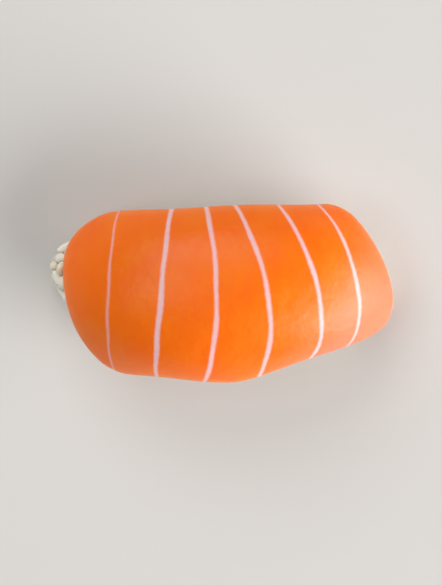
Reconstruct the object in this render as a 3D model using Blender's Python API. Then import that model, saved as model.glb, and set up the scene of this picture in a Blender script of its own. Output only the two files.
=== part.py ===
"""One piece of vegan nigiri: a soft orange slice draped over a hand-pressed block of rice.

Metres, +Z up. +X runs along the block, and the block stands on Z = 0 under the middle of its box.
"""

import math
import random

import bmesh
import bpy
import numpy as np
from mathutils import Matrix, Vector
from mathutils.bvhtree import BVHTree

MM = 0.001

# The slice as it is cut, lying flat: a slanted oblong with round corners
SLICE_LENGTH = 70.7 * MM
SLICE_WIDTH = 39.3 * MM
SLICE_THICKNESS = 4.6 * MM
SLICE_CORNER = 5.2 * MM
BACK_LEFT_CORNER = 12.0 * MM
FRONT_RIGHT_CORNER = 2.2 * MM
FRONT_RIGHT_TIP = 2.0 * MM
TIP_POWER = 2.7
SLICE_SLANT = 0.262
SLICE_EDGE_ROUND = 1.2 * MM

# How the slice hangs: slopes where it ends, and how late along the slice they build up
TOP_HEIGHT = 27.0 * MM
LEFT_END_SLOPE = math.radians(57)
RIGHT_END_SLOPE = math.radians(60)
END_SLOPE_POWER = 1.35
SIDE_SLOPE = math.radians(65)
SIDE_SLOPE_POWER = 1.05
STEEPEST = math.radians(88)
BEND_REACH = 1.4
SECTION_LEAN = 0.9

# The slice narrows towards its ends, and soonest at the front of the right end, whose edge is a slant.
# The front edge of the left end draws in a little halfway along.
LEFT_TAPER = 0.126
RIGHT_TAPER = 0.108
FRONT_RIGHT_TAPER = 0.33
FRONT_RIGHT_REACH = 0.42
FRONT_RIGHT_POWER = 1.6
FRONT_LEFT_DIP = 0.056

# Slow waves in the slice, as soft food has
WAVE_HEIGHT = 0.16 * MM
WAVE_ALONG = 15.0 * MM
WAVE_ACROSS = 11.0 * MM
WAVE_START_ALONG = 0.22
WAVE_START_ACROSS = 0.13

# Cells of the slice's faces: straight runs, and the quarter of each round corner
CELLS_ALONG = 28
CELLS_ACROSS = 8
CELLS_CORNER = 5
BEND_SAMPLES = 400

# The bare rice block under its outer grains, measured from the middle of the slice
RICE_LEFT = 33.9 * MM
RICE_RIGHT = 29.0 * MM
RICE_HALF_WIDTH = 13.4 * MM
RICE_HEIGHT = 23.0 * MM
RICE_WAIST = 6.0 * MM
RICE_WAIST_AT_ENDS = 0.62
RICE_LEFT_POWER = 1.95
RICE_RIGHT_POWER = 2.4
RICE_SECTION_POWER = 2.7
RICE_SWERVE = 4.4 * MM
RICE_UNEVEN = 0.35 * MM
RICE_UNEVEN_PITCH = 31.0 * MM
RICE_UNEVEN_LOBES = 3
RICE_STATIONS = 22
RICE_SPOKES = 28
BASE_FLAT = 1.3
RICE_GAP = 0.75 * MM
CUT_GAP = 0.65 * MM
GRAZING = 0.3

# Cooked short rice grains
GRAIN_LENGTH = 5.8 * MM
GRAIN_WIDTH = 2.7 * MM
GRAIN_DEPTH = 2.3 * MM
GRAIN_SPREAD = 0.12
GRAIN_BLUNT = 0.27
GRAIN_RINGS = 3
GRAIN_SIDES = 6
GRAIN_COUNT = 140
GRAIN_TRIES = 20000
GRAIN_SINK = 0.35 * MM
GRAIN_TILT = math.radians(22)
GRAIN_CLEAR = 0.45 * MM
GRAIN_OFF_TABLE = 0.2 * MM
GRAIN_CROWDING = 0.66
HIDDEN_DEPTH = 1.4 * MM
UNDERSIDE_NORMAL = -0.55
SEED = 23


def clear_scene():
    for obj in list(bpy.data.objects):
        bpy.data.objects.remove(obj, do_unlink=True)


def principled(name, colour, roughness):
    material = bpy.data.materials.new(name)
    material.use_nodes = True
    shader = material.node_tree.nodes["Principled BSDF"]
    shader.inputs["Base Color"].default_value = (*colour, 1.0)
    shader.inputs["Roughness"].default_value = roughness
    shader.inputs["Metallic"].default_value = 0.0
    material.diffuse_color = (*colour, 1.0)
    return material


def mesh_object(name, points, faces, material):
    mesh = bpy.data.meshes.new(name)
    mesh.from_pydata([tuple(point) for point in points], [], faces)
    mesh.materials.append(material)
    mesh.update()
    obj = bpy.data.objects.new(name, mesh)
    bpy.context.scene.collection.objects.link(obj)
    return obj


def shade_round(obj, sharp_from):
    obj.data.shade_smooth()
    obj.data.set_sharp_from_angle(angle=sharp_from)


# Draped slice


def bend_table(end_slope, power, half_length):
    """Arc length, distance, drop and slope along a strip that curls down more and more."""
    arc = np.linspace(0.0, BEND_REACH * half_length, BEND_SAMPLES)
    slope = np.minimum(end_slope * (arc / half_length) ** power, STEEPEST)
    step = arc[1] - arc[0]

    def summed(values):
        return np.concatenate([[0.0], np.cumsum((values[1:] + values[:-1]) / 2 * step)])

    return arc, summed(np.cos(slope)), summed(np.sin(slope)), slope


LEFT_BEND = bend_table(LEFT_END_SLOPE, END_SLOPE_POWER, SLICE_LENGTH / 2)
RIGHT_BEND = bend_table(RIGHT_END_SLOPE, END_SLOPE_POWER, SLICE_LENGTH / 2)
SIDE_BEND = bend_table(SIDE_SLOPE, SIDE_SLOPE_POWER, SLICE_WIDTH / 2)


def bent(table, length):
    arc, distance, drop, slope = table
    return tuple(float(np.interp(abs(length), arc, column)) for column in (distance, drop, slope))


def draped(along, across, height):
    """Where a point of the flat slice goes: height is measured from the slice's middle surface."""
    end = 1 if along > 0 else -1
    side = 1 if across > 0 else -1
    distance, end_drop, end_slope = bent(RIGHT_BEND if end > 0 else LEFT_BEND, along)
    reach, side_drop, side_slope = bent(SIDE_BEND, across)
    outward = abs(2 * along / SLICE_LENGTH)
    shrink = 1.0 - (RIGHT_TAPER if end > 0 else LEFT_TAPER) * outward**2
    if end > 0 and side < 0:
        shrink -= FRONT_RIGHT_TAPER * (1.0 - math.exp(-((outward / FRONT_RIGHT_REACH) ** FRONT_RIGHT_POWER)))
    if end < 0 and side < 0:
        shrink -= FRONT_LEFT_DIP * math.sin(math.pi * outward) ** 2
    wave = math.sin(math.pi * (along / WAVE_ALONG + WAVE_START_ALONG))
    wave *= math.cos(math.pi * (across / WAVE_ACROSS + WAVE_START_ACROSS))
    lift = height + WAVE_HEIGHT * wave
    y = side * (reach * shrink + lift * math.sin(side_slope))
    fall = side_drop * shrink - lift * math.cos(side_slope)
    x = end * (distance - fall * math.sin(end_slope) * SECTION_LEAN)
    z = TOP_HEIGHT - SLICE_THICKNESS / 2 - end_drop - fall * math.cos(end_slope)
    return Vector((x, y, z))


def flat_place(column, row, inset):
    """A point of the slanted oblong, with column and row from -1 to 1, its edge drawn in by inset."""
    half_length = SLICE_LENGTH / 2 - inset
    half_width = SLICE_WIDTH / 2 - inset
    across = half_width * row

    def reach(corner):
        into_corner = min(max((abs(across) - (half_width - corner)) / corner, 0.0), 1.0)
        return half_length - corner * (1.0 - math.sqrt(1.0 - into_corner**2))

    left = reach((BACK_LEFT_CORNER if row > 0 else SLICE_CORNER) - inset)
    right = reach((FRONT_RIGHT_CORNER if row < 0 else SLICE_CORNER) - inset)
    right += FRONT_RIGHT_TIP * max(-row, 0.0) ** TIP_POWER
    along = -left + (left + right) * (column + 1) / 2
    return along - SLICE_SLANT * across, across


def row_places():
    """Rows across the slice, closer together in the round corners."""
    half_width = SLICE_WIDTH / 2
    straight = half_width - SLICE_CORNER
    middle = [straight * (2 * k / CELLS_ACROSS - 1) for k in range(CELLS_ACROSS + 1)]
    quarter = math.pi / 2 / CELLS_CORNER
    curved = [straight + SLICE_CORNER * math.sin(k * quarter) for k in range(1, CELLS_CORNER + 1)]
    rows = [-place for place in reversed(curved)] + middle + curved
    return [place / half_width for place in rows]


def edge_profile(grow):
    """Inset and height of the slice's edge, from the upper face round to the lower one."""
    half = SLICE_THICKNESS / 2 + grow
    profile = []
    for angle in (90, 45, 0):
        turn = math.radians(angle)
        inset = SLICE_EDGE_ROUND * (1.0 - math.cos(turn)) - grow
        profile.append((inset, half - SLICE_EDGE_ROUND * (1.0 - math.sin(turn))))
    return profile + [(inset, -height) for inset, height in reversed(profile)]


def draped_slice(name, grow, material):
    """The slice as a closed body, swollen by grow on every side."""
    columns = [2 * k / CELLS_ALONG - 1 for k in range(CELLS_ALONG + 1)]
    rows = row_places()
    last_column = len(columns) - 1
    last_row = len(rows) - 1
    border = [(k, 0) for k in range(last_column)]
    border += [(last_column, k) for k in range(last_row)]
    border += [(k, last_row) for k in range(last_column, 0, -1)]
    border += [(0, k) for k in range(last_row, 0, -1)]
    points = []
    faces = []

    def add_point(column, row, inset, height):
        points.append(draped(*flat_place(columns[column], rows[row], inset), height))
        return len(points) - 1

    profile = edge_profile(grow)
    sheets = []
    for inset, height in (profile[0], profile[-1]):
        sheets.append(
            [[add_point(c, r, inset, height) for r in range(len(rows))] for c in range(len(columns))]
        )
    for sheet, upper in zip(sheets, (True, False)):
        for c in range(last_column):
            for r in range(last_row):
                near, right, far, left = sheet[c][r], sheet[c + 1][r], sheet[c + 1][r + 1], sheet[c][r + 1]
                for face in ((near, right, far), (near, far, left)):
                    faces.append(face if upper else face[::-1])
    rings = [[sheets[0][c][r] for c, r in border]]
    for inset, height in profile[1:-1]:
        rings.append([add_point(c, r, inset, height) for c, r in border])
    rings.append([sheets[1][c][r] for c, r in border])
    for upper, lower in zip(rings, rings[1:]):
        for k in range(len(border)):
            n = (k + 1) % len(border)
            faces.append((upper[k], lower[k], lower[n]))
            faces.append((upper[k], lower[n], upper[n]))
    obj = mesh_object(name, points, faces, material)
    shade_round(obj, math.radians(50))
    return obj


def tree_of(obj):
    mesh = obj.data
    return BVHTree.FromPolygons([v.co for v in mesh.vertices], [p.vertices for p in mesh.polygons])


# Rice block


def rounded(turn, power):
    """Cosine and sine of a turn, squared off as a superellipse of that power."""
    c = math.cos(turn)
    s = math.sin(turn)
    return (
        math.copysign(abs(c) ** (2 / power), c),
        math.copysign(abs(s) ** (2 / power), s),
    )


def rice_radius(slice_tree, centre, reach):
    """How far the block goes from a station's centre along reach before it would near the slice."""
    length = reach.length
    direction = reach.normalized()
    hit, normal, _, distance = slice_tree.ray_cast(centre, direction, length + SLICE_THICKNESS)
    if hit is not None:
        length = min(length, distance - RICE_GAP / max(abs(normal.dot(direction)), GRAZING))
    while length > 0 and slice_tree.find_nearest(centre + direction * length)[3] < RICE_GAP:
        length -= RICE_GAP / 4
    return direction * length


def rice_core(slice_tree, material):
    points = []
    rings = []
    ends = []
    for station in range(RICE_STATIONS + 1):
        turn = math.pi * (1 - station / RICE_STATIONS)
        left = 2 * station < RICE_STATIONS
        along, spread = rounded(turn, RICE_LEFT_POWER if left else RICE_RIGHT_POWER)
        x = along * (RICE_LEFT if left else RICE_RIGHT)
        y = RICE_SWERVE * abs(x / RICE_LEFT) ** 3 if left else 0.0
        waist = RICE_WAIST * (RICE_WAIST_AT_ENDS + (1 - RICE_WAIST_AT_ENDS) * spread)
        centre = Vector((x, y, waist))
        if station in (0, RICE_STATIONS):
            ends.append(len(points))
            points.append(centre)
            continue
        ring = []
        for spoke in range(RICE_SPOKES):
            around = 2 * math.pi * spoke / RICE_SPOKES
            side, rise = rounded(around, RICE_SECTION_POWER)
            lobes = RICE_UNEVEN_LOBES * around + 2 * math.pi * x / RICE_UNEVEN_PITCH
            wide = RICE_HALF_WIDTH + RICE_UNEVEN * math.sin(lobes) * spread
            tall = RICE_HEIGHT - RICE_WAIST if rise > 0 else BASE_FLAT * waist
            reach = Vector((0.0, side * wide * spread, rise * tall * spread))
            place = centre + rice_radius(slice_tree, centre, reach)
            place.z = max(place.z, 0.0)
            ring.append(len(points))
            points.append(place)
        rings.append(ring)
    faces = []
    for k in range(RICE_SPOKES):
        n = (k + 1) % RICE_SPOKES
        faces.append((ends[0], rings[0][n], rings[0][k]))
        faces.append((ends[1], rings[-1][k], rings[-1][n]))
        for near, far in zip(rings, rings[1:]):
            faces.append((near[k], near[n], far[n]))
            faces.append((near[k], far[n], far[k]))
    obj = mesh_object("rice_block", points, faces, material)
    shade_round(obj, math.radians(60))
    return obj


def grain_mesh():
    """One grain of unit length, width and depth: a barrel with blunt, flat ends."""
    points = []
    for ring in range(GRAIN_RINGS):
        place = ring / (GRAIN_RINGS - 1) - 0.5
        radius = 0.5 - (0.5 - GRAIN_BLUNT) * (2 * place) ** 2
        for side in range(GRAIN_SIDES):
            turn = 2 * math.pi * (side + ring / 2) / GRAIN_SIDES
            points.append(Vector((place, radius * math.cos(turn), radius * math.sin(turn))))
    first_end = tuple(reversed(range(GRAIN_SIDES)))
    last_end = tuple(range(len(points) - GRAIN_SIDES, len(points)))
    faces = [first_end, last_end]
    for ring in range(GRAIN_RINGS - 1):
        for side in range(GRAIN_SIDES):
            near = ring * GRAIN_SIDES
            far = near + GRAIN_SIDES
            following = (side + 1) % GRAIN_SIDES
            faces.append((near + side, near + following, far + side))
            faces.append((near + following, far + following, far + side))
    return points, faces


def outer_faces(core, slice_tree):
    """The block's faces that can be seen: clear of the slice, and not the flat base."""
    chosen = []
    for face in core.data.polygons:
        gap = slice_tree.find_nearest(face.center)[3]
        if gap > HIDDEN_DEPTH and face.normal.z > UNDERSIDE_NORMAL:
            chosen.append(face)
    return chosen


def random_place(draw, core, faces, weights):
    face = draw.choices(faces, weights)[0]
    a, b, c = (core.data.vertices[v].co for v in face.vertices)
    u, v = draw.random(), draw.random()
    if u + v > 1:
        u, v = 1 - u, 1 - v
    return a + (b - a) * u + (c - a) * v, face.normal.copy()


def grain_pose(draw, place, normal):
    """A placing matrix without scale, lying along the surface with a small random tilt."""
    tangent = normal.orthogonal().normalized()
    tangent.rotate(Matrix.Rotation(draw.uniform(0, 2 * math.pi), 3, normal))
    tilt = GRAIN_TILT * draw.uniform(-1, 1)
    axis = tangent * math.cos(tilt) + normal * math.sin(tilt)
    across = normal.cross(axis).normalized()
    up = axis.cross(across)
    centre = place + normal * GRAIN_SINK * draw.uniform(-1, 1)
    return Matrix.Translation(centre) @ Matrix((axis, across, up)).transposed().to_4x4()


def placed_grains(core, slice_tree):
    """Poses and sizes of the grains, spread evenly over what can be seen of the block."""
    draw = random.Random(SEED)
    faces = outer_faces(core, slice_tree)
    weights = [face.area for face in faces]
    near = GRAIN_CROWDING * (GRAIN_WIDTH + GRAIN_DEPTH) / 2
    grains = []
    axes = []
    for _ in range(GRAIN_TRIES):
        if len(grains) == GRAIN_COUNT:
            break
        pose = grain_pose(draw, *random_place(draw, core, faces, weights))
        size = [
            wanted * (1 + GRAIN_SPREAD * draw.uniform(-1, 1))
            for wanted in (GRAIN_LENGTH, GRAIN_WIDTH, GRAIN_DEPTH)
        ]
        arm = (size[0] - size[1]) / 2
        axis = [pose @ Vector((arm * k / 2, 0.0, 0.0)) for k in range(-2, 3)]
        if min(p.z for p in axis) < size[1] / 2 + GRAIN_OFF_TABLE:
            continue
        if min(slice_tree.find_nearest(p)[3] for p in axis) < size[1] / 2 + GRAIN_CLEAR:
            continue
        spots = np.array(axis)
        if axes and np.linalg.norm(np.array(axes)[:, None, :, None] - spots, axis=-1).min() < near:
            continue
        grains.append((pose, size))
        axes.append(spots)
    return grains


def apply_modifier(obj, modifier):
    bpy.context.view_layer.objects.active = obj
    bpy.ops.object.modifier_apply(modifier=modifier.name)


def clear_of_slice(core, material):
    """Shaves off what would come nearer to the slice than the gap, as at its cut edge."""
    cutter = draped_slice("slice_cutter", CUT_GAP, material)
    cut = core.modifiers.new("slice", "BOOLEAN")
    cut.operation = "DIFFERENCE"
    cut.object = cutter
    apply_modifier(core, cut)
    bpy.data.objects.remove(cutter, do_unlink=True)


def fuse_grains(core, grains):
    """Joins the grains to the block as one closed body."""
    points, faces = grain_mesh()
    heap = bpy.data.collections.new("grains")
    for k, (pose, size) in enumerate(grains):
        stretch = Matrix.Diagonal((*size, 1.0))
        mesh = bpy.data.meshes.new(f"grain_{k}")
        mesh.from_pydata([pose @ stretch @ point for point in points], [], faces)
        heap.objects.link(bpy.data.objects.new(f"grain_{k}", mesh))
    bpy.context.scene.collection.children.link(heap)
    join = core.modifiers.new("grains", "BOOLEAN")
    join.operation = "UNION"
    join.operand_type = "COLLECTION"
    join.collection = heap
    apply_modifier(core, join)
    for obj in list(heap.objects):
        bpy.data.objects.remove(obj, do_unlink=True)
    bpy.data.collections.remove(heap)


def islands(body):
    """The separate shells of a mesh, each a set of faces."""
    left = set(body.faces)
    found = []
    while left:
        shell = set()
        ahead = [left.pop()]
        while ahead:
            face = ahead.pop()
            shell.add(face)
            for edge in face.edges:
                for other in edge.link_faces:
                    if other in left:
                        left.remove(other)
                        ahead.append(other)
        found.append(shell)
    return found


def keep_outer_shell(obj):
    """Splits the faces into triangles and drops scraps and sealed hollows, so that one solid is left."""
    body = bmesh.new()
    body.from_mesh(obj.data)
    bmesh.ops.triangulate(body, faces=body.faces)
    shells = sorted(islands(body), key=len)
    inner = [face for shell in shells[:-1] for face in shell]
    bmesh.ops.delete(body, geom=inner, context="FACES")
    body.to_mesh(obj.data)
    body.free()


def stand_on_origin(objects):
    """Moves the whole piece so that the middle of its box is over the origin."""
    corners = np.array([v.co for obj in objects for v in obj.data.vertices])
    middle = (corners.min(axis=0) + corners.max(axis=0)) / 2
    for obj in objects:
        obj.location = (-middle[0], -middle[1], 0.0)


def main():
    clear_scene()
    topping = principled("topping", (0.913, 0.162, 0.016), 0.32)
    rice = principled("rice", (0.831, 0.799, 0.730), 0.42)
    slab = draped_slice("topping_slice", 0.0, topping)
    slice_tree = tree_of(slab)
    core = rice_core(slice_tree, rice)
    clear_of_slice(core, rice)
    keep_outer_shell(core)
    fuse_grains(core, placed_grains(core, slice_tree))
    keep_outer_shell(core)
    stand_on_origin([slab, core])


main()
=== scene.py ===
"""One piece of vegan nigiri on a pale table: pressed rice under a soft orange slice."""

import math

import bpy
import numpy as np
from mathutils import Matrix, Vector, noise
from mathutils.bvhtree import BVHTree


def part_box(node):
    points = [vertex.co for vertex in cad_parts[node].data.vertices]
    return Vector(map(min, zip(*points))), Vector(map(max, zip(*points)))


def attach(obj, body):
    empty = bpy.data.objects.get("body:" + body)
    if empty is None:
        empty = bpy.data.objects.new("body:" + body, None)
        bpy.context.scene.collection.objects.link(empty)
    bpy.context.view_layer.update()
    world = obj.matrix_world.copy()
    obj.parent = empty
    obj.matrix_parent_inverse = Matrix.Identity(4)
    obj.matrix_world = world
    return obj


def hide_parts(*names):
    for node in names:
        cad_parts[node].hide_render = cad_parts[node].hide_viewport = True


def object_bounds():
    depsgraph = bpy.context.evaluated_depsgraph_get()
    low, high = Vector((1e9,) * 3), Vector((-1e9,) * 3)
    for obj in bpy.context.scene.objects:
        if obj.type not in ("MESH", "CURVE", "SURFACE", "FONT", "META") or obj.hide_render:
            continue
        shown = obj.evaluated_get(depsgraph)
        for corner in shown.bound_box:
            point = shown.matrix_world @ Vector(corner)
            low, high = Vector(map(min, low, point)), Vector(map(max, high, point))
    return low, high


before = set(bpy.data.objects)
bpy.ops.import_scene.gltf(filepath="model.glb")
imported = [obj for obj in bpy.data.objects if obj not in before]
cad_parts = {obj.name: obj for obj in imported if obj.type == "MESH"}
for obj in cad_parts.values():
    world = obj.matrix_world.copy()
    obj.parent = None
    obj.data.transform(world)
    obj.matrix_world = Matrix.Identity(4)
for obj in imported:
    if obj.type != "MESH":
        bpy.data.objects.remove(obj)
cad_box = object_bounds()


# Rice
# Short-grain rice, cooked soft, seasoned with vinegar and sugar and pressed in the hand into a
# rounded bar. The grains keep their form and stick together. Those on the outside are modelled one
# by one, flattened where they meet the table or the slice, over a lumpy body of the same rice.

MM = 0.001

# The middle of the slice on the table, which the bar and the slice are measured from
MIDDLE = np.array((1.536, -0.052, 0.0)) * MM

# The pressed bar: its reach and height, the height where it is widest, and how squarely its ends
# and its section are rounded. Its left end swerves to the back.
RICE_LEFT = 33.9 * MM
RICE_RIGHT = 29.0 * MM
RICE_HALF_WIDTH = 13.4 * MM
RICE_HEIGHT = 23.0 * MM
RICE_WAIST = 6.0 * MM
RICE_WAIST_AT_ENDS = 0.62
RICE_LEFT_POWER = 1.95
RICE_RIGHT_POWER = 2.4
RICE_SECTION_POWER = 2.7
RICE_SWERVE = 4.4 * MM
BASE_FLAT = 1.3

# The body inside the outer grains: how far it is drawn in, its lumps, its gaps and its mesh
CORE_INSET = 1.0 * MM
CORE_LUMP = 0.55 * MM
CORE_LUMP_PITCH = 2.6 * MM
CORE_OFF_TABLE = 0.5 * MM
CORE_OFF_SLICE = 0.7 * MM
CORE_STATIONS = 130
CORE_SPOKES = 96
# The body's fixed tone, darker than the grains' pale bellies: painted shade in the gaps between
# grains
SHADED_BODY_TONE = 0.3


def squared_off(turn, power):
    """Cosine and sine of a turn, squared off as a superellipse of that power."""
    c = math.cos(turn)
    s = math.sin(turn)
    return math.copysign(abs(c) ** (2 / power), c), math.copysign(abs(s) ** (2 / power), s)


def pressed_bar(inset, stations, spokes):
    """Middles of the cross-sections and the points round them, for a bar drawn in by inset."""
    middles = []
    rings = []
    for station in range(stations + 1):
        left = 2 * station < stations
        along, spread = squared_off(
            math.pi * (1 - station / stations), RICE_LEFT_POWER if left else RICE_RIGHT_POWER
        )
        x = along * ((RICE_LEFT if left else RICE_RIGHT) - inset)
        y = RICE_SWERVE * abs(x / RICE_LEFT) ** 3 if left else 0.0
        waist = RICE_WAIST * (RICE_WAIST_AT_ENDS + (1 - RICE_WAIST_AT_ENDS) * spread)
        middle = MIDDLE + (x, y, waist)
        ring = []
        for spoke in range(spokes):
            side, rise = squared_off(2 * math.pi * spoke / spokes, RICE_SECTION_POWER)
            wide = RICE_HALF_WIDTH - inset
            tall = (RICE_HEIGHT - RICE_WAIST if rise > 0 else BASE_FLAT * waist) - inset
            ring.append(middle + (0.0, side * wide * spread, rise * tall * spread))
        middles.append(middle)
        rings.append(ring)
    return np.array(middles), np.array(rings)


def tube_faces(rings, spokes):
    """Four-sided faces between rings that follow each other, numbered ring by ring."""
    faces = []
    for ring in range(rings - 1):
        for k in range(spokes):
            n = (k + 1) % spokes
            near = ring * spokes
            far = near + spokes
            faces.append((near + k, near + n, far + n, far + k))
    return faces


def mesh_piece(name, points, faces, material):
    """A smooth mesh object from an array of points and a list of faces."""
    mesh = bpy.data.meshes.new(name)
    mesh.from_pydata(points.reshape(-1, 3).tolist(), [], faces)
    mesh.materials.append(material)
    mesh.shade_smooth()
    piece = bpy.data.objects.new(name, mesh)
    bpy.context.scene.collection.objects.link(piece)
    return piece


def keep_values(piece, name, values):
    """Keeps a number or a vector for each point of a piece, which its material reads by name."""
    kind, field = ("FLOAT", "value") if values.ndim == 1 else ("FLOAT_VECTOR", "vector")
    piece.data.attributes.new(name, kind, "POINT").data.foreach_set(field, values.ravel())


def above_surface(tree, point):
    """Signed distance to the nearest face, plus outside, and that face's normal."""
    spot, normal, _, distance = tree.find_nearest(point)
    away = Vector(point) - spot
    if away.dot(normal) < 0:
        return -distance, normal
    return distance, normal


def linear(code):
    """A colour as red, green, blue and alpha on the linear scale, from its sRGB hex value."""
    parts = [int(code[k:k + 2], 16) / 255 for k in (1, 3, 5)]
    return [c / 12.92 if c <= 0.04045 else ((c + 0.055) / 1.055) ** 2.4 for c in parts] + [1.0]


def add_node(tree, kind, settings, sockets):
    """Adds a node, makes its settings, and gives each socket a value or a link."""
    node = tree.nodes.new("ShaderNode" + kind)
    for name, value in settings.items():
        setattr(node, name, value)
    for key, value in sockets.items():
        if isinstance(value, bpy.types.NodeSocket):
            tree.links.new(value, node.inputs[key])
        else:
            node.inputs[key].default_value = value
    return node


# Numbers of the colour sockets on a Mix node
FACTOR, FIRST, SECOND, MIXED = 0, 6, 7, 2

# Cooked rice: starch swollen with water, so light goes a millimetre into each grain and the skin is
# moist. The eye gets a warm near-white, chalkier in a grain's belly and clearer at its ends, with
# small soft highlights. Patches and grit are sized in millimetres, as grain_place is.
CHALK_PATCH = 1.8
CHALK_SHARE = 0.5
SKIN_GRIT = 0.45
rice = bpy.data.materials.new("cooked_short_grain_rice")
rice.use_nodes = True
tree = rice.node_tree
grain_place = add_node(tree, "Attribute", {"attribute_name": "grain_place"}, {})
grain_tone = add_node(tree, "Attribute", {"attribute_name": "grain_tone"}, {})
in_grain = grain_place.outputs["Vector"]
chalk = add_node(
    tree, "TexNoise", {}, {"Vector": in_grain, "Scale": 1 / CHALK_PATCH, "Detail": 2.0}
)
tone = add_node(
    tree,
    "Math",
    {"operation": "MULTIPLY_ADD"},
    {0: chalk.outputs[0], 1: CHALK_SHARE, 2: grain_tone.outputs["Fac"]},
)
tint = add_node(
    tree,
    "Mix",
    {"data_type": "RGBA"},
    {FACTOR: tone.outputs[0], FIRST: linear("#dccdb0"), SECOND: linear("#f3ecdd")},
)
skin = add_node(tree, "TexNoise", {}, {"Vector": in_grain, "Scale": 1 / SKIN_GRIT, "Detail": 3.0})
gloss = add_node(tree, "MapRange", {}, {"Value": skin.outputs[0], "To Min": 0.10, "To Max": 0.34})
relief = add_node(
    tree, "Bump", {}, {"Height": skin.outputs[0], "Strength": 0.35, "Distance": 0.06 * MM}
)
shader = tree.nodes["Principled BSDF"]
shader.inputs["IOR"].default_value = 1.39
shader.inputs["Subsurface Weight"].default_value = 1.0
shader.inputs["Subsurface Radius"].default_value = (1.0, 0.93, 0.84)
shader.inputs["Subsurface Scale"].default_value = 2.0 * MM
shader.inputs["Coat Weight"].default_value = 0.7
shader.inputs["Coat Roughness"].default_value = 0.08
shader.inputs["Coat IOR"].default_value = 1.36
tree.links.new(tint.outputs[MIXED], shader.inputs["Base Color"])
tree.links.new(gloss.outputs[0], shader.inputs["Roughness"])
tree.links.new(relief.outputs[0], shader.inputs["Normal"])

# The body behind the outer grains, lumpy like the rice it is made of, and clear of the slice
slice_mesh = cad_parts["topping_slice"].data
slice_tree = BVHTree.FromPolygons(
    [vertex.co for vertex in slice_mesh.vertices], [face.vertices for face in slice_mesh.polygons]
)
core_middles, core_rings = pressed_bar(CORE_INSET, CORE_STATIONS, CORE_SPOKES)
core_points = []
for middle, ring in zip(core_middles[1:-1], core_rings[1:-1]):
    for point in ring:
        reach = Vector(point - middle)
        length = reach.length
        direction = reach.normalized()
        hit = slice_tree.ray_cast(middle, direction, 2 * RICE_HEIGHT)[0]
        if hit is not None:
            length = min(length, (hit - Vector(middle)).length - CORE_OFF_SLICE)
        cell = noise.voronoi(Vector(point) / CORE_LUMP_PITCH)[0][0]
        length -= CORE_LUMP * cell
        place = Vector(middle) + direction * max(length, 0.0)
        gap, normal = above_surface(slice_tree, place)
        if gap < CORE_OFF_SLICE:
            place += normal * (CORE_OFF_SLICE - gap)
        place.z = max(place.z, CORE_OFF_TABLE)
        core_points.append(tuple(place))
core_count = len(core_points)
core_points += [tuple(core_middles[0]), tuple(core_middles[-1])]
core_faces = tube_faces(CORE_STATIONS - 1, CORE_SPOKES)
last_ring = core_count - CORE_SPOKES
for k in range(CORE_SPOKES):
    n = (k + 1) % CORE_SPOKES
    core_faces.append((core_count, n, k))
    core_faces.append((core_count + 1, last_ring + k, last_ring + n))
rice_body = mesh_piece("rice_body", np.array(core_points), core_faces, rice)
keep_values(rice_body, "grain_place", np.array(core_points) / MM)
# Painted shade: the body gets one darker rice tone, so the gaps between the outer grains read
# deeper
keep_values(rice_body, "grain_tone", np.full(len(core_points), SHADED_BODY_TONE))
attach(rice_body, "root")
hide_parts("rice_block")

# The outer grains, thrown on the bar's surface and then settled so that they lie against each
# other. Each has a germ end with its notch, a blunter end, a slight bow and shallow long ridges.
GRAIN_LENGTH = 6.0 * MM
GRAIN_WIDTH = 2.8 * MM
GRAIN_DEPTH = 2.25 * MM
GRAIN_SPREAD = 0.08
SMALLEST_GRAIN = 0.78
LARGEST_GRAIN = 1.2
BROKEN_SHARE = 0.08
BROKEN_LENGTH = 0.62
BROKEN_BELOW = 0.8 * GRAIN_LENGTH

# Throwing: the bar that they are thrown on, how many, how tilted and how deep under its surface
# they land, and how near each other. Only those that can be seen from some side are kept.
BAR_STATIONS = 80
BAR_SPOKES = 60
GRAIN_COUNT = 760
GRAIN_TRIES = 60000
GRAIN_TILT = math.radians(15)
LAYER_DEPTH = 2.0 * MM
THROWN_APART = 0.57
LOOK_AROUND = 48
SEE_FAR = 60.0 * MM

# Settling: a grain is a chain of four balls. Each ball is pushed off its neighbours' balls, the
# slice and the table, and back towards the bar where it stands out more than the skin.
CHAIN = np.array((-1.0, -1 / 3, 1 / 3, 1.0))
CHAIN_RADIUS = np.array((0.78, 1.0, 1.0, 0.78))
SETTLING_STEPS = 90
SETTLING_PUSH = 0.9
PRESSED_APART = 0.84
NEIGHBOURS_EVERY = 10
NEIGHBOUR_REACH = 1.25 * GRAIN_LENGTH
LEAST_DISTANCE = 0.01 * MM
SKIN = 1.6 * MM
REST_ON_TABLE = 0.92
OFF_SLICE = 0.1 * MM

# The form of one grain: the powers that round its ends, its notch, ridges, lumps and bow
GRAIN_RINGS = 13
GRAIN_SIDES = 16
GERM_END = (1.9, 2.3)
BLUNT_END = (2.5, 3.3)
BROKEN_END = 7.0
END_ROUNDNESS = 0.5
NOTCH_DEPTH = 0.36
NOTCH_PLACE = 0.78
NOTCH_LENGTH = 0.16
RIDGES = 4
RIDGE_DEPTH = 0.035
LUMP_DEPTH = 0.045
LUMP_TURNS = 2.8
BOW = 0.12 * MM
BOW_SPREAD = 0.14 * MM

# How pale a grain is, how much paler its belly is, and how far apart the grains' patterns lie
GRAIN_TONE = (-0.15, 0.3)
BELLY_TONE = 0.6
PLACE_SPREAD = 400.0

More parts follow.
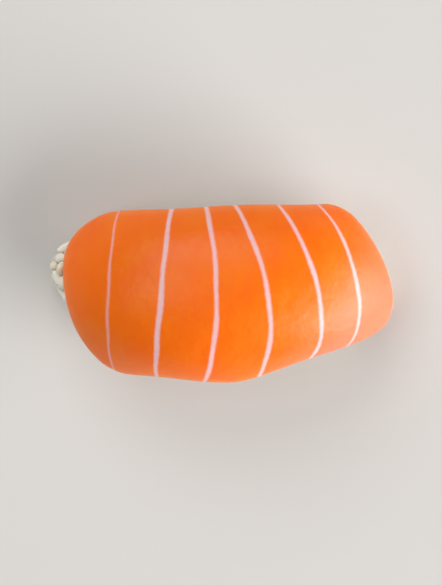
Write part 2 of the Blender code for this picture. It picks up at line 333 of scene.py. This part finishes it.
draw = np.random.default_rng(12)
bar_points = pressed_bar(0.0, BAR_STATIONS, BAR_SPOKES)[1].reshape(-1, 3)
bar_points[:, 2] = np.maximum(bar_points[:, 2], GRAIN_DEPTH / 2)
bar_faces = np.array(tube_faces(BAR_STATIONS + 1, BAR_SPOKES))
bar_tree = BVHTree.FromPolygons(bar_points.tolist(), bar_faces.tolist())
corners = bar_points[bar_faces]
diagonals = np.cross(corners[:, 2] - corners[:, 0], corners[:, 3] - corners[:, 1])
bar_areas = np.linalg.norm(diagonals, axis=1)
bar_areas /= bar_areas.sum()
body_tree = BVHTree.FromPolygons(core_points, core_faces)

golden = math.pi * (3 - math.sqrt(5))
sights = []
for k in range(LOOK_AROUND):
    rise = 1 - 2 * (k + 0.5) / LOOK_AROUND
    flat = math.sqrt(1 - rise * rise)
    sights.append(Vector((flat * math.cos(golden * k), flat * math.sin(golden * k), rise)))


def in_sight(point):
    """True if the point can be seen from some side, past the slice and the body of the bar."""
    for sight in sights:
        if slice_tree.ray_cast(point, sight, SEE_FAR)[0] is None:
            if body_tree.ray_cast(point, sight, SEE_FAR)[0] is None:
                return True
    return False


middles = np.zeros((GRAIN_COUNT, 3))
axes = np.zeros((GRAIN_COUNT, 3))
sizes = np.zeros((GRAIN_COUNT, 3))
chains = np.zeros((GRAIN_COUNT, 4, 3))
radii = np.zeros((GRAIN_COUNT, 4))
count = 0
for _ in range(GRAIN_TRIES):
    if count == GRAIN_COUNT:
        break
    face = draw.choice(len(bar_faces), p=bar_areas)
    u, v = draw.random(2)
    near_side = corners[face, 0] * (1 - u) + corners[face, 1] * u
    far_side = corners[face, 3] * (1 - u) + corners[face, 2] * u
    place = Vector(near_side * (1 - v) + far_side * v)
    gap, normal = above_surface(bar_tree, place)
    place -= normal * LAYER_DEPTH * draw.random() ** 2
    place.z = max(place.z, GRAIN_DEPTH / 2)
    if slice_tree.ray_cast(place, Vector((0, 0, -1)))[0] is not None:
        continue
    if above_surface(slice_tree, place)[0] < GRAIN_DEPTH / 2 or not in_sight(place):
        continue
    tangent = normal.orthogonal().normalized()
    tangent.rotate(Matrix.Rotation(draw.uniform(0, 2 * math.pi), 3, normal))
    tilt = GRAIN_TILT * draw.uniform(-1, 1)
    axis = tangent * math.cos(tilt) + normal * math.sin(tilt)
    size = draw.normal(1.0, GRAIN_SPREAD, 3).clip(SMALLEST_GRAIN, LARGEST_GRAIN)
    size *= (GRAIN_LENGTH, GRAIN_WIDTH, GRAIN_DEPTH)
    if draw.random() < BROKEN_SHARE:
        size[0] *= BROKEN_LENGTH
    radius = (size[1] + size[2]) / 4 * CHAIN_RADIUS
    chain = np.array(place) + np.array(axis) * (size[0] / 2 - radius[0]) * CHAIN[:, None]
    if count:
        apart = np.linalg.norm(chains[:count, :, None] - chain[None, None], axis=3)
        if (apart < THROWN_APART * (radii[:count, :, None] + radius)).any():
            continue
    middles[count] = place
    axes[count] = axis
    sizes[count] = size
    chains[count] = chain
    radii[count] = radius
    count += 1
middles, axes, sizes, radii = middles[:count], axes[:count], sizes[:count], radii[:count]
arms = (sizes[:, 0] / 2 - radii[:, 0])[:, None]

for step in range(SETTLING_STEPS):
    chains = middles[:, None] + axes[:, None] * (arms * CHAIN)[:, :, None]
    if step % NEIGHBOURS_EVERY == 0:
        apart = np.linalg.norm(middles[:, None] - middles[None], axis=2)
        first, second = np.nonzero(np.triu(apart < NEIGHBOUR_REACH, 1))
    away = chains[first][:, :, None] - chains[second][:, None]
    distance = np.linalg.norm(away, axis=3)
    overlap = PRESSED_APART * (radii[first][:, :, None] + radii[second][:, None]) - distance
    shove = away * (np.maximum(overlap, 0.0) / np.maximum(distance, LEAST_DISTANCE) / 2)[..., None]
    push = np.zeros_like(chains)
    np.add.at(push, first, shove.sum(axis=2))
    np.add.at(push, second, -shove.sum(axis=1))
    for grain in range(count):
        for spot in range(4):
            place = chains[grain, spot]
            radius = radii[grain, spot]
            out, normal = above_surface(bar_tree, place)
            beyond = out + radius - SKIN
            if beyond > 0:
                push[grain, spot] -= np.array(normal) * beyond
            gap, normal = above_surface(slice_tree, place)
            if gap < radius + OFF_SLICE:
                push[grain, spot] += np.array(normal) * (radius + OFF_SLICE - gap)
            push[grain, spot, 2] += max(radius * REST_ON_TABLE - place[2], 0.0)
    middles += push.mean(axis=1) * SETTLING_PUSH
    lever = (push * CHAIN[None, :, None]).sum(axis=1) / (CHAIN**2).sum()
    axes += lever / arms * SETTLING_PUSH
    axes /= np.linalg.norm(axes, axis=1)[:, None]

ring_at = -np.cos(np.pi * (np.arange(GRAIN_RINGS) + 0.5) / GRAIN_RINGS)
side_at = 2 * np.pi * np.arange(GRAIN_SIDES) / GRAIN_SIDES
end_to_end, turn = np.meshgrid(ring_at, side_at, indexing="ij")
end_to_end = np.concatenate([end_to_end.ravel(), [-1.0, 1.0]])
turn = np.concatenate([turn.ravel(), [0.0, 0.0]])
one_grain = tube_faces(GRAIN_RINGS, GRAIN_SIDES)
pole = GRAIN_RINGS * GRAIN_SIDES
for k in range(GRAIN_SIDES):
    n = (k + 1) % GRAIN_SIDES
    one_grain.append((pole, n, k))
    one_grain.append((pole + 1, pole - GRAIN_SIDES + k, pole - GRAIN_SIDES + n))
SIDEWAYS = np.array((1.0, 1.0, 0.0))
box_low, box_high = (np.array(corner) for corner in cad_box)
grain_points = []
grain_faces = []
grain_places = []
grain_tones = []
for grain in range(count):
    length, width, depth = sizes[grain]
    normal = np.array(above_surface(bar_tree, middles[grain])[1])
    axis = axes[grain]
    up = normal - axis * normal.dot(axis)
    up /= np.linalg.norm(up)
    side = np.cross(up, axis)
    ridge_start, lump_start, lump_shift = draw.uniform(0, 2 * np.pi, 3)
    bow = draw.normal(BOW, BOW_SPREAD)
    germ_end = draw.uniform(*GERM_END)
    other_end = draw.uniform(*BLUNT_END) if length > BROKEN_BELOW else BROKEN_END
    end_power = np.where(end_to_end > 0, germ_end, other_end)
    full = (1 - np.abs(end_to_end) ** end_power) ** END_ROUNDNESS
    notch = NOTCH_DEPTH * np.exp(-(((end_to_end - NOTCH_PLACE) / NOTCH_LENGTH) ** 2))
    notch *= np.maximum(-np.cos(turn), 0.0) ** 2
    ridges = 1 + RIDGE_DEPTH * np.cos(RIDGES * turn + ridge_start) * (1 - end_to_end**2)
    lumps = np.sin(2 * turn + lump_start) * np.sin(LUMP_TURNS * end_to_end + lump_shift)
    girth = full * (1 - notch) * ridges * (1 + LUMP_DEPTH * lumps)
    x = end_to_end * length / 2
    y = width / 2 * girth * np.cos(turn) + bow * (1 - end_to_end**2)
    z = depth / 2 * girth * np.sin(turn)
    points = middles[grain] + x[:, None] * axis + y[:, None] * side + z[:, None] * up
    points -= SIDEWAYS * np.maximum(points.max(axis=0) - box_high, 0.0)
    points -= SIDEWAYS * np.minimum(points.min(axis=0) - box_low, 0.0)
    for k, point in enumerate(points):
        gap, normal = above_surface(slice_tree, point)
        if gap < OFF_SLICE:
            points[k] += np.array(normal) * (OFF_SLICE - gap)
    start = len(grain_points) * len(end_to_end)
    grain_points.append(points)
    grain_faces += [tuple(start + v for v in face) for face in one_grain]
    grain_places.append(np.stack([x, y, z], axis=1) / MM + draw.uniform(0, PLACE_SPREAD, 3))
    grain_tones.append(draw.uniform(*GRAIN_TONE) + BELLY_TONE * (1 - np.abs(end_to_end) ** 3))
grain_points = np.clip(np.concatenate(grain_points), box_low, box_high)
rice_grains = mesh_piece("rice_grains", grain_points, grain_faces, rice)
keep_values(rice_grains, "grain_place", np.concatenate(grain_places))
keep_values(rice_grains, "grain_tone", np.concatenate(grain_tones))
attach(rice_grains, "root")
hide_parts("rice_block")


# Topping slice
# A soft gel of konjac and tapioca, coloured orange, cast in a block with thin white layers and cut
# into oblong slices. One slice is laid over the rice and pressed down, so it hangs on all sides.

# The slice as it is cut, lying flat: a slanted oblong with round corners
SLICE_LENGTH = 70.7 * MM
SLICE_WIDTH = 39.3 * MM
SLICE_THICKNESS = 4.6 * MM
SLICE_CORNER = 5.2 * MM
BACK_LEFT_CORNER = 12.0 * MM
FRONT_RIGHT_CORNER = 2.2 * MM
FRONT_RIGHT_TIP = 2.0 * MM
TIP_POWER = 2.7
SLICE_SLANT = 0.262
SLICE_EDGE_ROUND = 1.2 * MM

# How it hangs: the slopes where it ends, and how late along the slice they build up
TOP_HEIGHT = 27.0 * MM
LEFT_END_SLOPE = math.radians(57)
RIGHT_END_SLOPE = math.radians(60)
END_SLOPE_POWER = 1.35
SIDE_SLOPE = math.radians(65)
SIDE_SLOPE_POWER = 1.05
STEEPEST = math.radians(88)
BEND_REACH = 1.4
BEND_SAMPLES = 400
SECTION_LEAN = 0.9

# It narrows towards its ends, soonest at the front of the right end, whose edge is a slant, and
# the front edge of its left end draws in a little halfway along
LEFT_TAPER = 0.126
RIGHT_TAPER = 0.108
FRONT_RIGHT_TAPER = 0.33
FRONT_RIGHT_REACH = 0.42
FRONT_RIGHT_POWER = 1.6
FRONT_LEFT_DIP = 0.056

# Slow waves in the slice, as soft food has
WAVE_HEIGHT = 0.16 * MM
WAVE_ALONG = 15.0 * MM
WAVE_ACROSS = 11.0 * MM
WAVE_START_ALONG = 0.22
WAVE_START_ACROSS = 0.13

# Cells of the mesh: over the slice, round each edge of its cut, and down the flat of the cut
CELL = 0.42 * MM
EDGE_STEPS = 7
FLANK_STEPS = (0.6, 0.2, -0.2, -0.6)

# White layers in the flat slice, in millimetres: where each crosses the middle, its slant and bow,
# its width, and how clearly it shows
WHITE_LAYERS = (
    (-23.3, 0.076, -0.0135, 0.55, 0.62),
    (-12.85, 0.132, -0.0057, 0.95, 1.0),
    (-2.33, 0.046, -0.0081, 0.85, 0.95),
    (7.44, -0.106, -0.0101, 0.85, 0.95),
    (17.05, -0.154, -0.0064, 0.8, 0.95),
    (25.37, -0.124, -0.0011, 0.75, 0.9),
)
LAYER_WAVE = 0.07
LAYER_WAVE_LENGTH = 9.0
LAYER_WAVE_STRETCH = 0.13
LAYER_WAVE_SHIFT = 1.7
LAYER_LEAN = 0.22
LAYER_SWELL = 0.16
SHORT_SWELL = 2.3
LONG_SWELL = 5.1
SWELL_SHIFT = 2.1

# The count that tells the material where the layers are: a layer lies at each whole number. Near
# a layer it goes up by one in ten millimetres, and at either end it stops short of another layer.
LAYER_RULER = 10.0
NEAR_LAYER = 2.0
BEFORE_FIRST_LAYER = 0.55
PAST_LAST_LAYER = 0.25


def bend_table(end_slope, power, half_length):
    """Arc length, distance, drop and slope along a strip that curls down more and more."""
    arc = np.linspace(0.0, BEND_REACH * half_length, BEND_SAMPLES)
    slope = np.minimum(end_slope * (arc / half_length) ** power, STEEPEST)
    step = arc[1] - arc[0]

    def summed(values):
        return np.concatenate([[0.0], np.cumsum((values[1:] + values[:-1]) / 2 * step)])

    return arc, summed(np.cos(slope)), summed(np.sin(slope)), slope


LEFT_BEND = bend_table(LEFT_END_SLOPE, END_SLOPE_POWER, SLICE_LENGTH / 2)
RIGHT_BEND = bend_table(RIGHT_END_SLOPE, END_SLOPE_POWER, SLICE_LENGTH / 2)
SIDE_BEND = bend_table(SIDE_SLOPE, SIDE_SLOPE_POWER, SLICE_WIDTH / 2)


def bent(table, length):
    """Distance, drop and slope of a curling strip at some length along it."""
    arc, distance, drop, slope = table
    return [np.interp(np.abs(length), arc, column) for column in (distance, drop, slope)]


def draped(along, across, height):
    """Where points of the flat slice go: height is measured from the slice's middle surface."""
    end = np.where(along > 0, 1.0, -1.0)
    side = np.where(across > 0, 1.0, -1.0)
    toward_right = bent(RIGHT_BEND, along)
    toward_left = bent(LEFT_BEND, along)
    distance, end_drop, end_slope = (
        np.where(end > 0, right, left) for right, left in zip(toward_right, toward_left)
    )
    reach, side_drop, side_slope = bent(SIDE_BEND, across)
    outward = np.abs(2 * along / SLICE_LENGTH)
    shrink = 1.0 - np.where(end > 0, RIGHT_TAPER, LEFT_TAPER) * outward**2
    into_slant = (outward / FRONT_RIGHT_REACH) ** FRONT_RIGHT_POWER
    slant = FRONT_RIGHT_TAPER * (1.0 - np.exp(-into_slant))
    shrink -= np.where((end > 0) & (side < 0), slant, 0.0)
    shrink -= np.where((end < 0) & (side < 0), FRONT_LEFT_DIP * np.sin(np.pi * outward) ** 2, 0.0)
    wave = np.sin(np.pi * (along / WAVE_ALONG + WAVE_START_ALONG))
    wave *= np.cos(np.pi * (across / WAVE_ACROSS + WAVE_START_ACROSS))
    lift = height + WAVE_HEIGHT * wave
    y = side * (reach * shrink + lift * np.sin(side_slope))
    fall = side_drop * shrink - lift * np.cos(side_slope)
    x = end * (distance - fall * np.sin(end_slope) * SECTION_LEAN)
    z = TOP_HEIGHT - SLICE_THICKNESS / 2 - end_drop - fall * np.cos(end_slope)
    return np.stack([x, y, z], axis=-1) + MIDDLE


def flat_place(column, row, inset):
    """Points of the slanted oblong: column and row go from -1 to 1, and inset draws its edge in."""
    half_length = SLICE_LENGTH / 2 - inset
    half_width = SLICE_WIDTH / 2 - inset
    across = half_width * row

    def reach(corner):
        into_corner = np.clip((np.abs(across) - (half_width - corner)) / corner, 0.0, 1.0)
        return half_length - corner * (1.0 - np.sqrt(1.0 - into_corner**2))

    left = np.where(row > 0, reach(BACK_LEFT_CORNER - inset), reach(SLICE_CORNER - inset))
    right = np.where(row < 0, reach(FRONT_RIGHT_CORNER - inset), reach(SLICE_CORNER - inset))
    right += FRONT_RIGHT_TIP * np.maximum(-row, 0.0) ** TIP_POWER
    along = -left + (left + right) * (column + 1) / 2
    return along - SLICE_SLANT * across, across


columns_count = round(SLICE_LENGTH / CELL)
columns = np.linspace(-1, 1, columns_count + 1)
straight = SLICE_WIDTH / 2 - SLICE_CORNER
middle_rows = np.linspace(-straight, straight, round(2 * straight / CELL) + 1)
corner_cells = round(math.pi / 2 * SLICE_CORNER / CELL)
corner_turns = np.arange(1, corner_cells + 1) * (math.pi / 2 / corner_cells)
corner_rows = straight + SLICE_CORNER * np.sin(corner_turns)
rows = np.concatenate([-corner_rows[::-1], middle_rows, corner_rows]) / (SLICE_WIDTH / 2)
last_column = len(columns) - 1
last_row = len(rows) - 1
border = [(k, 0) for k in range(last_column)]
border += [(last_column, k) for k in range(last_row)]
border += [(k, last_row) for k in range(last_column, 0, -1)]
border += [(0, k) for k in range(last_row, 0, -1)]
half_thick = SLICE_THICKNESS / 2
profile = []
for angle in np.radians(np.linspace(90, 0, EDGE_STEPS)):
    inset = SLICE_EDGE_ROUND * (1 - math.cos(angle))
    profile.append((inset, half_thick - SLICE_EDGE_ROUND * (1 - math.sin(angle))))
flank = half_thick - SLICE_EDGE_ROUND
profile += [(0.0, flank * step) for step in FLANK_STEPS]
profile += [(inset, -height) for inset, height in reversed(profile[:EDGE_STEPS])]

along_parts = []
across_parts = []
height_parts = []
grid_column, grid_row = np.meshgrid(columns, rows, indexing="ij")
for inset, height in (profile[0], profile[-1]):
    along, across = flat_place(grid_column.ravel(), grid_row.ravel(), inset)
    along_parts.append(along)
    across_parts.append(across)
    height_parts.append(np.full(len(along), height))
border_column = columns[[column for column, row in border]]
border_row = rows[[row for column, row in border]]
for inset, height in profile[1:-1]:
    along, across = flat_place(border_column, border_row, inset)
    along_parts.append(along)
    across_parts.append(across)
    height_parts.append(np.full(len(along), height))
along = np.concatenate(along_parts)
across = np.concatenate(across_parts)
height = np.concatenate(height_parts)

sheet_size = len(columns) * len(rows)
slice_faces = []
for sheet in (0, 1):
    for c in range(last_column):
        for r in range(last_row):
            near = sheet * sheet_size + c * len(rows) + r
            far = near + len(rows)
            face = (near, far, far + 1, near + 1)
            slice_faces.append(face if sheet == 0 else face[::-1])
around = len(border)
loops = [[c * len(rows) + r for c, r in border]]
for k in range(len(profile) - 2):
    loops.append([2 * sheet_size + k * around + n for n in range(around)])
loops.append([sheet_size + c * len(rows) + r for c, r in border])
for upper, lower in zip(loops, loops[1:]):
    for k in range(around):
        n = (k + 1) % around
        slice_faces.append((upper[k], lower[k], lower[n], upper[n]))

# Where each point is among the white layers, which lean as they go down through the slice
along_mm = (along - LAYER_LEAN * (height - half_thick)) / MM
across_mm = across / MM
knots = []
for k, (place, slant, bow, _, _) in enumerate(WHITE_LAYERS):
    wave_length = LAYER_WAVE_LENGTH * (1 + LAYER_WAVE_STRETCH * k)
    wave = LAYER_WAVE * np.sin(2 * np.pi * across_mm / wave_length + LAYER_WAVE_SHIFT * k)
    middle_of_layer = place + slant * across_mm + bow * across_mm**2 + wave
    knots.append((middle_of_layer - NEAR_LAYER, k + 1 - NEAR_LAYER / LAYER_RULER))
    knots.append((middle_of_layer + NEAR_LAYER, k + 1 + NEAR_LAYER / LAYER_RULER))
first_knot, first_value = knots[0]
phase = first_value + (along_mm - first_knot) / LAYER_RULER
phase = np.clip(phase, BEFORE_FIRST_LAYER, first_value)
for (start, value), (stop, next_value) in zip(knots, knots[1:]):
    between = np.clip((along_mm - start) / (stop - start), 0.0, 1.0)
    phase = phase + between * (next_value - value)
phase = phase + np.clip((along_mm - knots[-1][0]) / LAYER_RULER, 0.0, PAST_LAST_LAYER)
nearest = np.clip(np.round(phase).astype(int) - 1, 0, len(WHITE_LAYERS) - 1)
widths, strengths = np.array(WHITE_LAYERS)[nearest, 3:].T
swell = np.sin(across_mm / SHORT_SWELL + SWELL_SHIFT * nearest)
swell *= np.sin(across_mm / LONG_SWELL + nearest)
widths = widths * (1 + LAYER_SWELL * swell)

# Konjac gel: clear jelly made cloudy by starch and coloured with paprika and carrot. Light goes
# two or three millimetres in, and the orange is deep in the middle. Along the thin cut edge a paler
# orange is painted, a painted glow and highlight where the rounded edge catches light, and over the
# front right end a pale salmon is painted, a painted sheen from the low window. The moist cut face
# dimples a little and gives a broad soft sheen, never a sharp mirror. Dimples, clouds and the
# wander of a layer's edge are sized in millimetres, as flat_slice is.
LAYER_EDGE = 0.3
EDGE_WANDER = 1.1
EDGE_WANDER_REACH = 0.03
COLOUR_CLOUD = 6.2
CLOUD_RANGE = (0.3, 0.7)
MOIST_DIMPLE = 2.0
# The painted rim glow: how far in from the cut edge it reaches, and how much paler orange it mixes
# in
PAINTED_RIM_REACH = 2.6 * MM
PAINTED_RIM_SHARE = 0.32
# How fast the painted sheen grows along the slice and towards its front, from where on, and how
# softly
PAINTED_SHEEN_ALONG = 2.13
PAINTED_SHEEN_TO_FRONT = 0.92
PAINTED_SHEEN_START = 0.99
PAINTED_SHEEN_POWER = 1.5
gel = bpy.data.materials.new("cast_konjac_gel")
gel.use_nodes = True
tree = gel.node_tree
flat_slice = add_node(tree, "Attribute", {"attribute_name": "flat_slice"}, {})
in_slice = flat_slice.outputs["Vector"]
layers = add_node(tree, "Attribute", {"attribute_name": "white_layers"}, {})
layer_parts = add_node(tree, "SeparateXYZ", {}, {0: layers.outputs["Vector"]})
ragged = add_node(
    tree, "TexNoise", {}, {"Vector": in_slice, "Scale": 1 / EDGE_WANDER, "Detail": 3.0}
)
shifted = add_node(
    tree,
    "Math",
    {"operation": "MULTIPLY_ADD"},
    {0: ragged.outputs[0], 1: EDGE_WANDER_REACH, 2: layer_parts.outputs[0]},
)
centred = add_node(
    tree, "Math", {"operation": "ADD"}, {0: shifted.outputs[0], 1: 0.5 - EDGE_WANDER_REACH / 2}
)
fraction = add_node(tree, "Math", {"operation": "FRACT"}, {0: centred.outputs[0]})
offset = add_node(tree, "Math", {"operation": "SUBTRACT"}, {0: fraction.outputs[0], 1: 0.5})
apart = add_node(tree, "Math", {"operation": "ABSOLUTE"}, {0: offset.outputs[0]})
apart_mm = add_node(tree, "Math", {"operation": "MULTIPLY"}, {0: apart.outputs[0], 1: LAYER_RULER})
past_edge = add_node(
    tree, "Math", {"operation": "SUBTRACT"}, {0: apart_mm.outputs[0], 1: layer_parts.outputs[1]}
)
in_layer = add_node(
    tree,
    "MapRange",
    {"interpolation_type": "SMOOTHSTEP"},
    {"Value": past_edge.outputs[0], "From Min": LAYER_EDGE, "From Max": -LAYER_EDGE},
)
layer_share = add_node(
    tree, "Math", {"operation": "MULTIPLY"}, {0: in_layer.outputs[0], 1: layer_parts.outputs[2]}
)
cloud = add_node(
    tree, "TexNoise", {}, {"Vector": in_slice, "Scale": 1 / COLOUR_CLOUD, "Detail": 3.0}
)
cloud_share = add_node(
    tree,
    "MapRange",
    {},
    {"Value": cloud.outputs[0], "From Min": CLOUD_RANGE[0], "From Max": CLOUD_RANGE[1]},
)
orange = add_node(
    tree,
    "Mix",
    {"data_type": "RGBA"},
    {FACTOR: cloud_share.outputs[0], FIRST: linear("#fc6c00"), SECOND: linear("#fc7702")},
)
# Painted highlight: a paler orange along the cut edge, where the rounded edge catches light
cut = add_node(tree, "Attribute", {"attribute_name": "cut_edge"}, {})
cut_share = add_node(tree, "MapRange", {}, {"Value": cut.outputs["Fac"], "To Max": PAINTED_RIM_SHARE})
rim_glow_painted = add_node(
    tree,
    "Mix",
    {"data_type": "RGBA"},
    {FACTOR: cut_share.outputs[0], FIRST: orange.outputs[MIXED], SECOND: linear("#fba266")},
)
# Painted sheen: a pale salmon mixed over the front right end, standing in for the window's sheen
corner = add_node(tree, "Attribute", {"attribute_name": "painted_sheen_corner"}, {})
sheen_painted = add_node(
    tree,
    "Mix",
    {"data_type": "RGBA"},
    {FACTOR: corner.outputs["Fac"], FIRST: rim_glow_painted.outputs[MIXED], SECOND: linear("#fb7f57")},
)
layered = add_node(
    tree,
    "Mix",
    {"data_type": "RGBA"},
    {FACTOR: layer_share.outputs[0], FIRST: sheen_painted.outputs[MIXED], SECOND: linear("#f1c3c5")},
)
moist = add_node(
    tree, "TexNoise", {}, {"Vector": in_slice, "Scale": 1 / MOIST_DIMPLE, "Detail": 4.0}
)
gloss = add_node(tree, "MapRange", {}, {"Value": moist.outputs[0], "To Min": 0.30, "To Max": 0.46})
relief = add_node(
    tree, "Bump", {}, {"Height": moist.outputs[0], "Strength": 0.85, "Distance": 0.18 * MM}
)
shader = tree.nodes["Principled BSDF"]
shader.inputs["IOR"].default_value = 1.37
shader.inputs["Subsurface Weight"].default_value = 0.25
shader.inputs["Subsurface Radius"].default_value = (1.0, 0.36, 0.14)
shader.inputs["Subsurface Scale"].default_value = 2.6 * MM
tree.links.new(layered.outputs[MIXED], shader.inputs["Base Color"])
tree.links.new(gloss.outputs[0], shader.inputs["Roughness"])
tree.links.new(relief.outputs[0], shader.inputs["Normal"])

slice_points = draped(along, across, height)
# The fine surface is a little rounder than the frame's flat facets, so it is fitted to their box
frame_low, frame_high = (np.array(corner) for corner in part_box("topping_slice"))
low, high = slice_points.min(axis=0), slice_points.max(axis=0)
slice_points = frame_low + (slice_points - low) * (frame_high - frame_low) / (high - low)
topping = mesh_piece("topping", slice_points, slice_faces, gel)
keep_values(topping, "flat_slice", np.stack([along, across, height], axis=1) / MM)
keep_values(topping, "white_layers", np.stack([phase, widths / 2, strengths], axis=1))
# The painted rim glow's share: full on the cut, fading in over the top and bottom near the edge
end_gap = (1 - np.abs(grid_column)) * SLICE_LENGTH / 2
side_gap = (1 - np.abs(grid_row)) * SLICE_WIDTH / 2
near_edge = np.clip(1 - np.minimum(end_gap, side_gap).ravel() / PAINTED_RIM_REACH, 0.0, 1.0) ** 2
on_cut = np.ones(around * (len(profile) - 2))
keep_values(topping, "cut_edge", np.concatenate([near_edge, near_edge, on_cut]))
# The painted sheen's share, growing towards the right end and its front
pale = PAINTED_SHEEN_ALONG * 2 * along / SLICE_LENGTH - PAINTED_SHEEN_TO_FRONT * 2 * across / SLICE_WIDTH
keep_values(topping, "painted_sheen_corner", np.clip(pale - PAINTED_SHEEN_START, 0.0, 1.0) ** PAINTED_SHEEN_POWER)
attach(topping, "root")
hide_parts("topping_slice")


# Table, light and camera
# A plain pale table top, matt and seamless. Soft daylight comes in low from a window at the right
# and front. Pale cards behind and above fill the shadows, and the camera looks down from above.

TABLE_RADIUS = 4.0
TABLE_SIDES = 96
table_rim = []
for k in range(TABLE_SIDES):
    turn = 2 * math.pi * k / TABLE_SIDES
    table_rim.append((TABLE_RADIUS * math.cos(turn), TABLE_RADIUS * math.sin(turn), 0.0))
table_mesh = bpy.data.meshes.new("table")
table_mesh.from_pydata(table_rim, [], [tuple(range(TABLE_SIDES))])
table = bpy.data.objects.new("table", table_mesh)
bpy.context.scene.collection.objects.link(table)
table_paint = bpy.data.materials.new("matt_pale_table")
table_paint.use_nodes = True
shader = table_paint.node_tree.nodes["Principled BSDF"]
shader.inputs["Base Color"].default_value = linear("#d4d1cd")
shader.inputs["Roughness"].default_value = 0.85
table_mesh.materials.append(table_paint)

world = bpy.data.worlds.new("pale_room")
world.use_nodes = True
walls = world.node_tree.nodes["Background"]
walls.inputs["Color"].default_value = linear("#f2f0ee")
walls.inputs["Strength"].default_value = 0.2
bpy.context.scene.world = world


def soft_light(name, place, width, tall, power):
    """A large rectangular lamp that faces the piece."""
    lamp = bpy.data.lights.new(name, "AREA")
    lamp.shape = "RECTANGLE"
    lamp.size = width
    lamp.size_y = tall
    lamp.energy = power
    lamp_object = bpy.data.objects.new(name, lamp)
    lamp_object.location = place
    lamp_object.rotation_euler = (-Vector(place)).to_track_quat("-Z", "Y").to_euler()
    lamp_object.visible_camera = False
    bpy.context.scene.collection.objects.link(lamp_object)


soft_light("low_window", place=(1.382, -0.503, 0.300), width=1.8, tall=0.6, power=29.0)
soft_light("front_window", place=(1.042, -0.730, 0.795), width=1.2, tall=0.6, power=11.6)
soft_light("back_card", place=(-0.365, 1.124, 0.924), width=1.2, tall=0.8, power=10.0)
soft_light("ceiling_card", place=(-0.724, 0.194, 1.299), width=1.0, tall=0.8, power=6.0)

# The camera looks down from a little behind the middle, slightly turned, as in the photograph. The
# piece fills most of the picture's width.
CAMERA_LEAN = math.radians(9)
CAMERA_ROLL = math.radians(-1.87)
CAMERA_DISTANCE = 0.8
AIM_HEIGHT = 14 * MM
FRAME_SHARE = 0.78
right = Vector((math.cos(CAMERA_ROLL), math.sin(CAMERA_ROLL), 0.0))
ahead = Vector((-math.sin(CAMERA_ROLL), math.cos(CAMERA_ROLL), 0.0))
back = ahead * math.sin(CAMERA_LEAN) + Vector((0, 0, 1)) * math.cos(CAMERA_LEAN)
up = back.cross(right)
camera_data = bpy.data.cameras.new("camera")
camera_data.sensor_width = 36.0
camera_data.clip_start = 0.01
camera = bpy.data.objects.new("camera", camera_data)
bpy.context.scene.collection.objects.link(camera)
photo_width, photo_height = 442, 585
view_width = (cad_box[1].x - cad_box[0].x) / FRAME_SHARE
view_height = view_width * photo_height / photo_width
camera_data.lens = camera_data.sensor_width * CAMERA_DISTANCE / view_height
aim = Vector((0.0, 0.0, AIM_HEIGHT))
pose = Matrix((right, up, back)).transposed().to_4x4()
pose.translation = aim + back * CAMERA_DISTANCE
camera.matrix_world = pose
bpy.context.scene.camera = camera
bpy.context.scene.view_settings.view_transform = "Standard"
